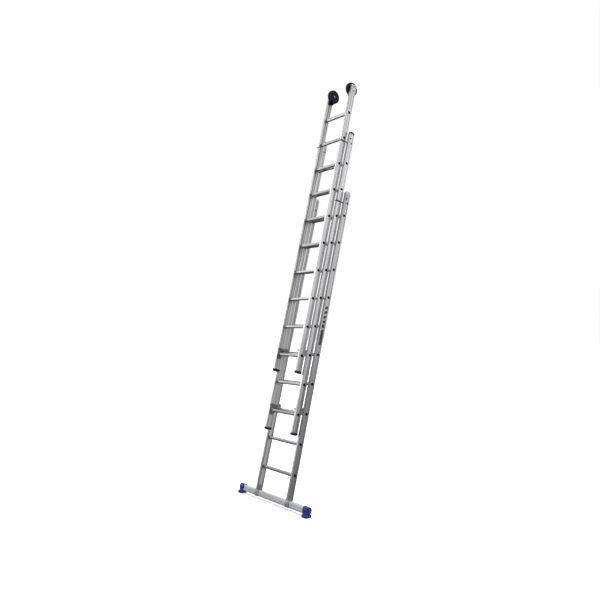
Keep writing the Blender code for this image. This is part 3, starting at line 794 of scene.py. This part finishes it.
def make_top_cap(section, side_name, material):
    """A domed plug with a thin shoulder on the stile's upper end."""
    node = f"{section}_{side_name}_top_cap"
    low, high = lean_box(node)
    _, stile_high = stile_box(section, side_name)
    seat = stile_high.z + CAD_GAP
    centre = (low + high) / 2
    half_x, half_y = (high.x - low.x) / 2, (high.y - low.y) / 2
    rise = high.z - seat
    shoulder = 0.0034
    rings = []
    for z, inset in ((-0.014, 0.0026), (0.0, 0.0026), (0.0, 0.0002), (0.0004, 0.0), (shoulder - 0.0005, 0.0),
                     (shoulder, 0.0004)):
        ring = rounded_rectangle(half_x - inset, half_y - inset, 0.0030, 5)
        rings.append([(centre.x + x, centre.y + y, seat + z) for x, y in ring])
    for step in range(1, 9):
        angle = math.pi / 2 * step / 9
        reach_y = (half_y - 0.0004) * math.cos(angle) ** 0.75
        reach_x = (half_x - 0.0004) * math.cos(angle) ** 0.22
        z = shoulder + (rise - shoulder) * math.sin(angle)
        ring = rounded_rectangle(reach_x, max(reach_y, 0.0045), min(0.0040, reach_x * 0.6), 5)
        rings.append([(centre.x + x, centre.y + y, seat + z) for x, y in ring])
    shape = bmesh.new()
    loft(shape, rings)
    cap = mesh_object(f"{node}_dome", shape, LEANING)
    finish(cap, material, f"{section}_section", [node], crease=28)


# ---- guides and hooks
WASHER_RECESS = 0.0016
WASHER_PLACES = ((0.010, 0.0), (-0.008, 0.044))      # behind the stile's middle and above the strap

# A hook's bracket in depth about the stile's middle and in height about the pivot.
BRACKET_OUTLINE = (
    (0.0290, -0.0700), (0.0290, 0.0020), (0.0270, 0.0090), (0.0200, 0.0130), (-0.0200, 0.0130),
    (-0.0270, 0.0090), (-0.0290, 0.0020), (-0.0290, -0.0880), (-0.0270, -0.0930), (-0.0220, -0.0950),
    (0.0080, -0.0950), (0.0140, -0.0920), (0.0170, -0.0860), (0.0190, -0.0780), (0.0240, -0.0740))
BRACKET_RIVET_DROP = 0.0860


def make_guide(section, side_name):
    """A bent strap on the stile's inner face, wrapped round the stile in front, and two outer bolts."""
    side = SIDES[side_name]
    node = f"{section}_{side_name}_guide"
    low, high = lean_box(node)
    tip, outer = ends_of(low, high, side)
    thick = 0.0030
    bend = 0.0058
    middle_z, half_z = (low.z + high.z) / 2, (high.z - low.z) / 2
    path = [(outer - side * thick / 2, high.y - 0.001), (outer - side * thick / 2, low.y + bend)]
    corner = (outer - side * bend, low.y + bend)
    for step in range(1, 7):
        angle = math.pi / 2 * step / 6
        radius = bend - thick / 2
        path.append((corner[0] + side * radius * math.cos(angle), corner[1] - radius * math.sin(angle)))
    path.append((tip + side * 0.004, low.y + thick / 2))
    path.append((tip, low.y + thick / 2 + 0.0009))
    rings = []
    for index, point in enumerate(path):
        before = Vector(path[max(index - 1, 0)])
        after = Vector(path[min(index + 1, len(path) - 1)])
        along = (after - before).normalized()
        across = Vector((along.y, -along.x))
        shrink = 0.75 if index in (0, len(path) - 1) else 1.0
        ring = [(Vector(point) + across * a * shrink, b * shrink)
                for a, b in rounded_rectangle(thick / 2, half_z, 0.0009, 3)]
        rings.append([(flat.x, flat.y, middle_z + rise) for flat, rise in ring])
    shape = bmesh.new()
    loft(shape, rings)
    strap = mesh_object(f"{node}_strap", shape, LEANING)
    finish(strap, STRAP_METAL, f"{section}_section", [node])
    heads = bmesh.new()
    for back in (0.012, 0.036):
        rivet(heads, (outer - side * thick, high.y - back, middle_z), (-side, 0, 0))
    finish(mesh_object(f"{node}_rivets", heads, LEANING), BOLT_METAL, f"{section}_section")
    stile_low, stile_high = stile_box(section, side_name)
    face = ends_of(stile_low, stile_high, side)[1] - side * WASHER_RECESS
    middle_y = (stile_low.y + stile_high.y) / 2
    washers = bmesh.new()
    for offset, rise in WASHER_PLACES:
        matrix = facing((face, middle_y + offset, middle_z + rise), (side, 0, 0))
        turned(washers, ((0, -0.0004), (0.0094, -0.0004), (0.0094, 0.0008), (0.0088, 0.0014),
                         (0.0050, 0.0014), (0.0046, 0.0034), (0.0034, 0.0042), (0, 0.0042)), matrix, 28)
    bolts = mesh_object(f"{node}_washers", washers, LEANING)
    finish(bolts, BLACK_PLASTIC, f"{section}_section")


def make_hook(section, side_name):
    """The rung hook, its finger tab, its pivot bolt and the fixed bracket behind it."""
    side = SIDES[side_name]
    node = f"{section}_{side_name}_hook"
    body = f"{node}_body"
    pivot = joint_place(f"{node}_pivot")
    face, _ = ends_of(*lean_box(node), side)
    plate = bpy.data.objects.new(f"{node}_plate", frame["nodes"][node].data.copy())
    bpy.context.scene.collection.objects.link(plate)
    merge = bmesh.new()
    merge.from_mesh(plate.data)
    bmesh.ops.remove_doubles(merge, verts=merge.verts, dist=0.00002)
    bmesh.ops.dissolve_limit(merge, angle_limit=math.radians(2), verts=merge.verts, edges=merge.edges)
    bmesh.ops.recalc_face_normals(merge, faces=merge.faces)
    merge.to_mesh(plate.data)
    merge.free()
    bevel(plate, 0.0005, 2, 40)
    finish(plate, HOOK_METAL, body, [node])
    head = bmesh.new()
    matrix = facing((face, pivot.y, pivot.z), (-side, 0, 0))
    turned(head, ((0, -0.0002), (0.0095, -0.0002), (0.0095, 0.0008), (0.0088, 0.0012), (0.0066, 0.0012),
                  (0.0066, 0.0022), (0.0058, 0.0030), (0.0030, 0.0032), (0.0026, 0.0026), (0, 0.0026)),
           matrix, 28)
    finish(mesh_object(f"{node}_pivot_pin", head, LEANING), SADDLE_METAL, body)
    stile_low, stile_high = stile_box(section, side_name)
    inner, _ = ends_of(stile_low, stile_high, side)
    middle = (stile_low.y + stile_high.y) / 2
    plate_shape = bmesh.new()
    loft(plate_shape, [[(inner + side * u, middle + y, pivot.z + z) for y, z in BRACKET_OUTLINE]
                       for u in (0.0032, -0.0002)])
    bracket = mesh_object(f"{node}_bracket", plate_shape, LEANING)
    y, z, _ = rung_place(section, 1)
    opening = bmesh.new()
    ring = [(a * 1.26, b * 1.26) for a, b in rounded_rectangle(0.0150, 0.0140, 0.0050, 4)]
    loft(opening, [[(x, y + a, z + b - 0.0008) for a, b in ring] for x in (inner - 0.02, inner + 0.02)])
    cut(bracket, mesh_object("opening", opening))
    finish(bracket, HOOK_METAL, f"{section}_section")
    heads = bmesh.new()
    for offset in (-0.011, 0.011):
        place = (inner + side * 0.0002, middle + offset, pivot.z - BRACKET_RIVET_DROP)
        rivet(heads, place, (-side, 0, 0), 0.0038)
    finish(mesh_object(f"{node}_bracket_rivets", heads, LEANING), BOLT_METAL, f"{section}_section")


# ---- wall wheels
TYRE_ROUND = 0.0045
WHEEL_SPOKES = 8
# Reach, thickness and dip along a spoke.
SPOKE_STATIONS = ((0.0160, 0.0017, 0.0), (0.0300, 0.0014, 0.0006), (0.0455, 0.0016, 0.0))
MOUNT_THICK = 0.0049
NECK_THICK = 0.0200
WHEEL_CLEARANCE = 0.0030
BOLTS_BELOW_TOP = (0.022, 0.062)


def make_wheel(side_name):
    """A rubber tyre on a ribbed moulded disc."""
    side = SIDES[side_name]
    node = f"{side_name}_wall_wheel"
    body = f"{side_name}_wheel"
    axis = joint_place(f"{side_name}_wheel_spin")
    low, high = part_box(node)
    half = (high.x - low.x) / 2
    radius = (high.z - low.z) / 2
    matrix = LEANING @ facing(axis, (-side, 0, 0))
    tyre = bmesh.new()
    profile = [(0.0515, -half + 0.0030), (0.0530, -half + 0.0008), (0.0575, -half)]
    profile += arc((radius - TYRE_ROUND, -half + TYRE_ROUND), TYRE_ROUND, -90, 0, 6)
    profile += [(radius, -0.0036), (radius - 0.0012, -0.0030), (radius - 0.0012, 0.0030), (radius, 0.0036)]
    profile += arc((radius - TYRE_ROUND, half - TYRE_ROUND), TYRE_ROUND, 0, 90, 6)
    profile += [(0.0575, half), (0.0530, half - 0.0008), (0.0515, half - 0.0030)]
    turned(tyre, profile, matrix, 72)
    finish(mesh_object(f"{node}_tyre", tyre), TYRE_RUBBER, body, [node], crease=40)
    disc = bmesh.new()
    bore = 0.0066
    profile = ((bore, -half), (0.0150, -half), (0.0165, -half + 0.0015), (0.0185, -half + 0.0060),
               (0.0440, -half + 0.0048), (0.0470, -half + 0.0016), (0.0500, -half + 0.0010),
               (0.0516, -half + 0.0022), (0.0516, half - 0.0022), (0.0500, half - 0.0010),
               (0.0470, half - 0.0016), (0.0440, half - 0.0048), (0.0185, half - 0.0060),
               (0.0165, half - 0.0015), (0.0150, half), (bore, half))
    turned(disc, profile, matrix, 72)
    for spoke in range(WHEEL_SPOKES):
        turn = Matrix.Rotation(2 * math.pi * spoke / WHEEL_SPOKES, 4, "Z")
        for end in (-1, 1):
            near, far = (-half + 0.0024, -half + 0.0080) if end < 0 else (half - 0.0080, half - 0.0024)
            rings = []
            for reach, thick, dip in SPOKE_STATIONS:
                z0 = near + (dip if end < 0 else 0)
                z1 = far - (dip if end > 0 else 0)
                corners = ((reach, -thick, z0), (reach, thick, z0), (reach, thick, z1), (reach, -thick, z1))
                rings.append([matrix @ turn @ Vector(corner) for corner in corners])
            loft(disc, rings)
    finish(mesh_object(f"{node}_disc", disc), NAVY_PLASTIC, body, crease=30)


def make_wheel_mount(side_name):
    """The plate, its thick neck below the wheel, the cap over the stile and the axle bolt."""
    side = SIDES[side_name]
    node = f"{side_name}_wheel_mount"
    axis = joint_place(f"{side_name}_wheel_spin")
    wheel_low, wheel_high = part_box(f"{side_name}_wall_wheel")
    radius = (wheel_high.z - wheel_low.z) / 2
    low, high = lean_box(node)
    stile_low, stile_high = lean_box(f"top_{side_name}_stile")
    inner, outer = ends_of(stile_low, stile_high, side)
    middle = (stile_low.y + stile_high.y) / 2
    face = inner - side * CAD_GAP
    bottom, half_depth = low.z, 0.0280
    plate = bmesh.new()
    outline = [(-half_depth, bottom + 0.006), (-half_depth + 0.006, bottom), (half_depth - 0.006, bottom),
               (half_depth, bottom + 0.006), (half_depth, high.z - 0.012),
               (half_depth - 0.010, high.z - 0.0002),
               (-half_depth + 0.010, high.z - 0.0002), (-half_depth, high.z - 0.012)]
    loft(plate, [[(x, middle + y, z) for y, z in outline] for x in (face, face - side * MOUNT_THICK)])
    mount = mesh_object(f"{node}_plate", plate, LEANING)
    neck = bmesh.new()
    clear = radius + WHEEL_CLEARANCE
    outline = [(-half_depth + 0.007, bottom), (half_depth - 0.007, bottom),
               (half_depth - 0.002, bottom + 0.003),
               (half_depth, bottom + 0.009)]
    crown = []
    for step in range(9):
        y = half_depth - 2 * half_depth * step / 8
        behind = y - (axis.y - middle)
        crown.append((y, min(axis.z - math.sqrt(clear ** 2 - behind ** 2), bottom + 0.0255)))
    outline += crown + [(-half_depth, bottom + 0.009), (-half_depth + 0.002, bottom + 0.003)]
    loft(neck, [[(x, middle + y, z) for y, z in outline]
                for x in (face - side * 0.0040, face - side * NECK_THICK)])
    cap = bmesh.new()
    half_x = abs(outer - face + side * 0.0025) / 2
    centre_x = (outer + face - side * 0.0025) / 2
    seat = stile_high.z + CAD_GAP
    rings = []
    for z, inset in ((0.0, 0.0), (0.0014, 0.0), (0.0024, 0.0006), (0.0030, 0.0020)):
        ring = rounded_rectangle(half_x - inset, (stile_high.y - stile_low.y) / 2 - inset, 0.0030, 4)
        rings.append([(centre_x + x, middle + y, seat + z) for x, y in ring])
    loft(cap, rings)
    cut(mount, mesh_object("neck", neck, LEANING), mesh_object("cap", cap, LEANING), operation="UNION")
    bevel(mount, 0.0009, 2, 35)
    finish(mount, BLACK_PLASTIC, "top_section", [node])
    hardware = bmesh.new()
    head = ends_of(low, high, side)[0] + side * 0.0040
    matrix = facing((head, axis.y, axis.z), (-side, 0, 0))
    turned(hardware, ((0, 0.0), (0.0104, 0.0), (0.0104, 0.0010), (0.0098, 0.0014), (0, 0.0014)), matrix, 32)
    turned(hardware, ((0, 0.0012), (0.0070, 0.0012), (0.0070, 0.0032), (0.0062, 0.0040), (0, 0.0040)),
           matrix, 6)
    axle = facing((face, axis.y, axis.z), (-side, 0, 0))
    reach = abs(head - face)
    turned(hardware, ((0, 0.0), (0.0060, 0.0), (0.0060, reach), (0, reach)), axle)
    for drop in BOLTS_BELOW_TOP:
        place = (outer - side * OUTER_RECESS, middle, stile_high.z - drop)
        hex_bolt(hardware, place, (side, 0, 0), 0.0055, 0.0088)
    finish(mesh_object(f"{node}_bolts", hardware, LEANING), BOLT_METAL, "top_section")


# ---- label
LABEL_ABOVE_FOOT = 1.43
LABEL_BAR = 0.150
LABEL_BLOCKS = 5
LABEL_BLOCK_START = 0.168
LABEL_PITCH = 0.046
LABEL_BLOCK = 0.026
LABEL_HALF_DEPTH = 0.0150
LABEL_SLANT = 0.010
LABEL_STRIPS = 10


def make_label():
    """A plain film marking on the base section: one long bar with slanted ends and five slanted blocks."""
    low, high = lean_box("base_right_stile")
    middle = (low.y + high.y) / 2
    start = low.z + LABEL_ABOVE_FOOT
    shape = bmesh.new()

    def block(z0, z1):
        rings = []
        for strip in range(LABEL_STRIPS + 1):
            y = -LABEL_HALF_DEPTH + 2 * LABEL_HALF_DEPTH * strip / LABEL_STRIPS
            under = high.x - web_drop(y) - 0.0002
            over = under + 0.00038
            rise = LABEL_SLANT * strip / LABEL_STRIPS
            rings.append([(x, middle + y, z + rise)
                          for x, z in ((under, z0), (over, z0), (over, z1), (under, z1))])
        loft(shape, rings)

    block(start, start + LABEL_BAR)
    for index in range(LABEL_BLOCKS):
        z = start + LABEL_BLOCK_START + index * LABEL_PITCH
        block(z, z + LABEL_BLOCK)
    finish(mesh_object("stile_marking", shape, LEANING), LABEL_FILM, "base_section")


# ---- the ladder
for section_name in SECTIONS:
    for side_label in SIDES:
        make_stile(section_name, side_label)
        make_rung_ends(section_name, side_label)
    for rung_number in range(1, RUNGS + 1):
        make_rung(section_name, rung_number)
make_bar()
make_label()
for side_label in SIDES:
    make_foot(side_label)
    make_top_cap("base", side_label, GREY_PLASTIC)
    make_top_cap("mid", side_label, BLACK_PLASTIC)
    for section_name in ("mid", "top"):
        make_bottom_cap(section_name, side_label)
        make_hook(section_name, side_label)
    for section_name in ("base", "mid"):
        make_guide(section_name, side_label)
    make_wheel_mount(side_label)
    make_wheel(side_label)


# ---- studio
def make_floor():
    shape = bmesh.new()
    bmesh.ops.create_grid(shape, x_segments=1, y_segments=1, size=40)
    floor = mesh_object("floor", shape)
    floor.location.z = -0.0005
    material, tree, shader = new_material("floor_paper")
    place = add_node(tree, "ShaderNodeTexCoord")
    tone = noise(tree, place.outputs["Object"], 3.0, detail=4.0)
    link(tree, mix_colours(tree, tone, (0.90, 0.90, 0.90), (0.93, 0.93, 0.93)), shader.inputs["Base Color"])
    shader.inputs["Roughness"].default_value = 0.9
    shader.inputs["Emission Color"].default_value = (1, 1, 1, 1)
    shader.inputs["Emission Strength"].default_value = 0.42
    floor.data.materials.append(material)
    floor.visible_glossy = False


def make_key_light():
    """A tall soft box on the ladder's left, in front of it."""
    data = bpy.data.lights.new("key", "AREA")
    data.shape = "RECTANGLE"
    data.size, data.size_y = 4.0, 7.2
    data.energy = 150
    lamp = bpy.data.objects.new("key", data)
    bpy.context.scene.collection.objects.link(lamp)
    lamp.location = (-4.7, -3.9, 4.4)
    lamp.rotation_euler = (Vector((0, 0, 2.6)) - lamp.location).to_track_quat("-Z", "Y").to_euler()


ROOM_LEVELS = ((0.42, 0.26), (0.48, 0.46), (0.53, 0.95), (0.60, 1.10), (0.67, 0.62), (0.78, 0.36))


def make_world():
    """White to the camera; for reflections a soft room, dim below, with a bright backdrop behind."""
    world = bpy.data.worlds.new("studio")
    bpy.context.scene.world = world
    world.use_nodes = True
    tree = world.node_tree
    background = tree.nodes["Background"]
    place = add_node(tree, "ShaderNodeTexCoord")
    split = add_node(tree, "ShaderNodeSeparateXYZ")
    link(tree, place.outputs["Generated"], split.inputs["Vector"])
    ramp = add_node(tree, "ShaderNodeValToRGB")
    stops = ramp.color_ramp.elements
    stops[0].position, stops[0].color = 0.30, (0.09, 0.09, 0.095, 1)
    stops[1].position, stops[1].color = 1.00, (0.50, 0.50, 0.51, 1)
    for position, level in ROOM_LEVELS:
        stop = stops.new(position)
        stop.color = (level, level, level * 1.01, 1)
    link(tree, spread(tree, split.outputs["Z"], -1, 1, 0, 1), ramp.inputs["Fac"])
    seen = add_node(tree, "ShaderNodeLightPath")
    backdrop = add_node(tree, "ShaderNodeVectorMath", operation="SCALE")
    link(tree, ramp.outputs["Color"], backdrop.inputs[0])
    link(tree, spread(tree, split.outputs["Y"], -0.6, 0.9, 0.55, 1.30), backdrop.inputs["Scale"])
    colour = mix_colours(tree, seen.outputs["Is Camera Ray"], backdrop.outputs["Vector"], (1.0, 1.0, 1.0))
    link(tree, colour, background.inputs["Color"])
    background.inputs["Strength"].default_value = 1.0


def make_sun():
    data = bpy.data.lights.new("overhead", "SUN")
    data.energy = 2.6
    data.angle = math.radians(50)
    lamp = bpy.data.objects.new("overhead", data)
    bpy.context.scene.collection.objects.link(lamp)
    lamp.rotation_euler = (math.radians(-12), math.radians(-10), 0)


def make_camera():
    data = bpy.data.cameras.new("camera")
    data.lens = 36.5
    data.sensor_width = 36.0
    camera = bpy.data.objects.new("camera", data)
    bpy.context.scene.collection.objects.link(camera)
    camera.location = (4.6206, -3.8561, 1.680)
    camera.rotation_euler = (math.radians(92.168), 0, math.radians(51.147))
    bpy.context.scene.camera = camera


make_floor()
make_world()
make_sun()
make_key_light()
make_camera()
bpy.context.scene.view_settings.view_transform = "Standard"
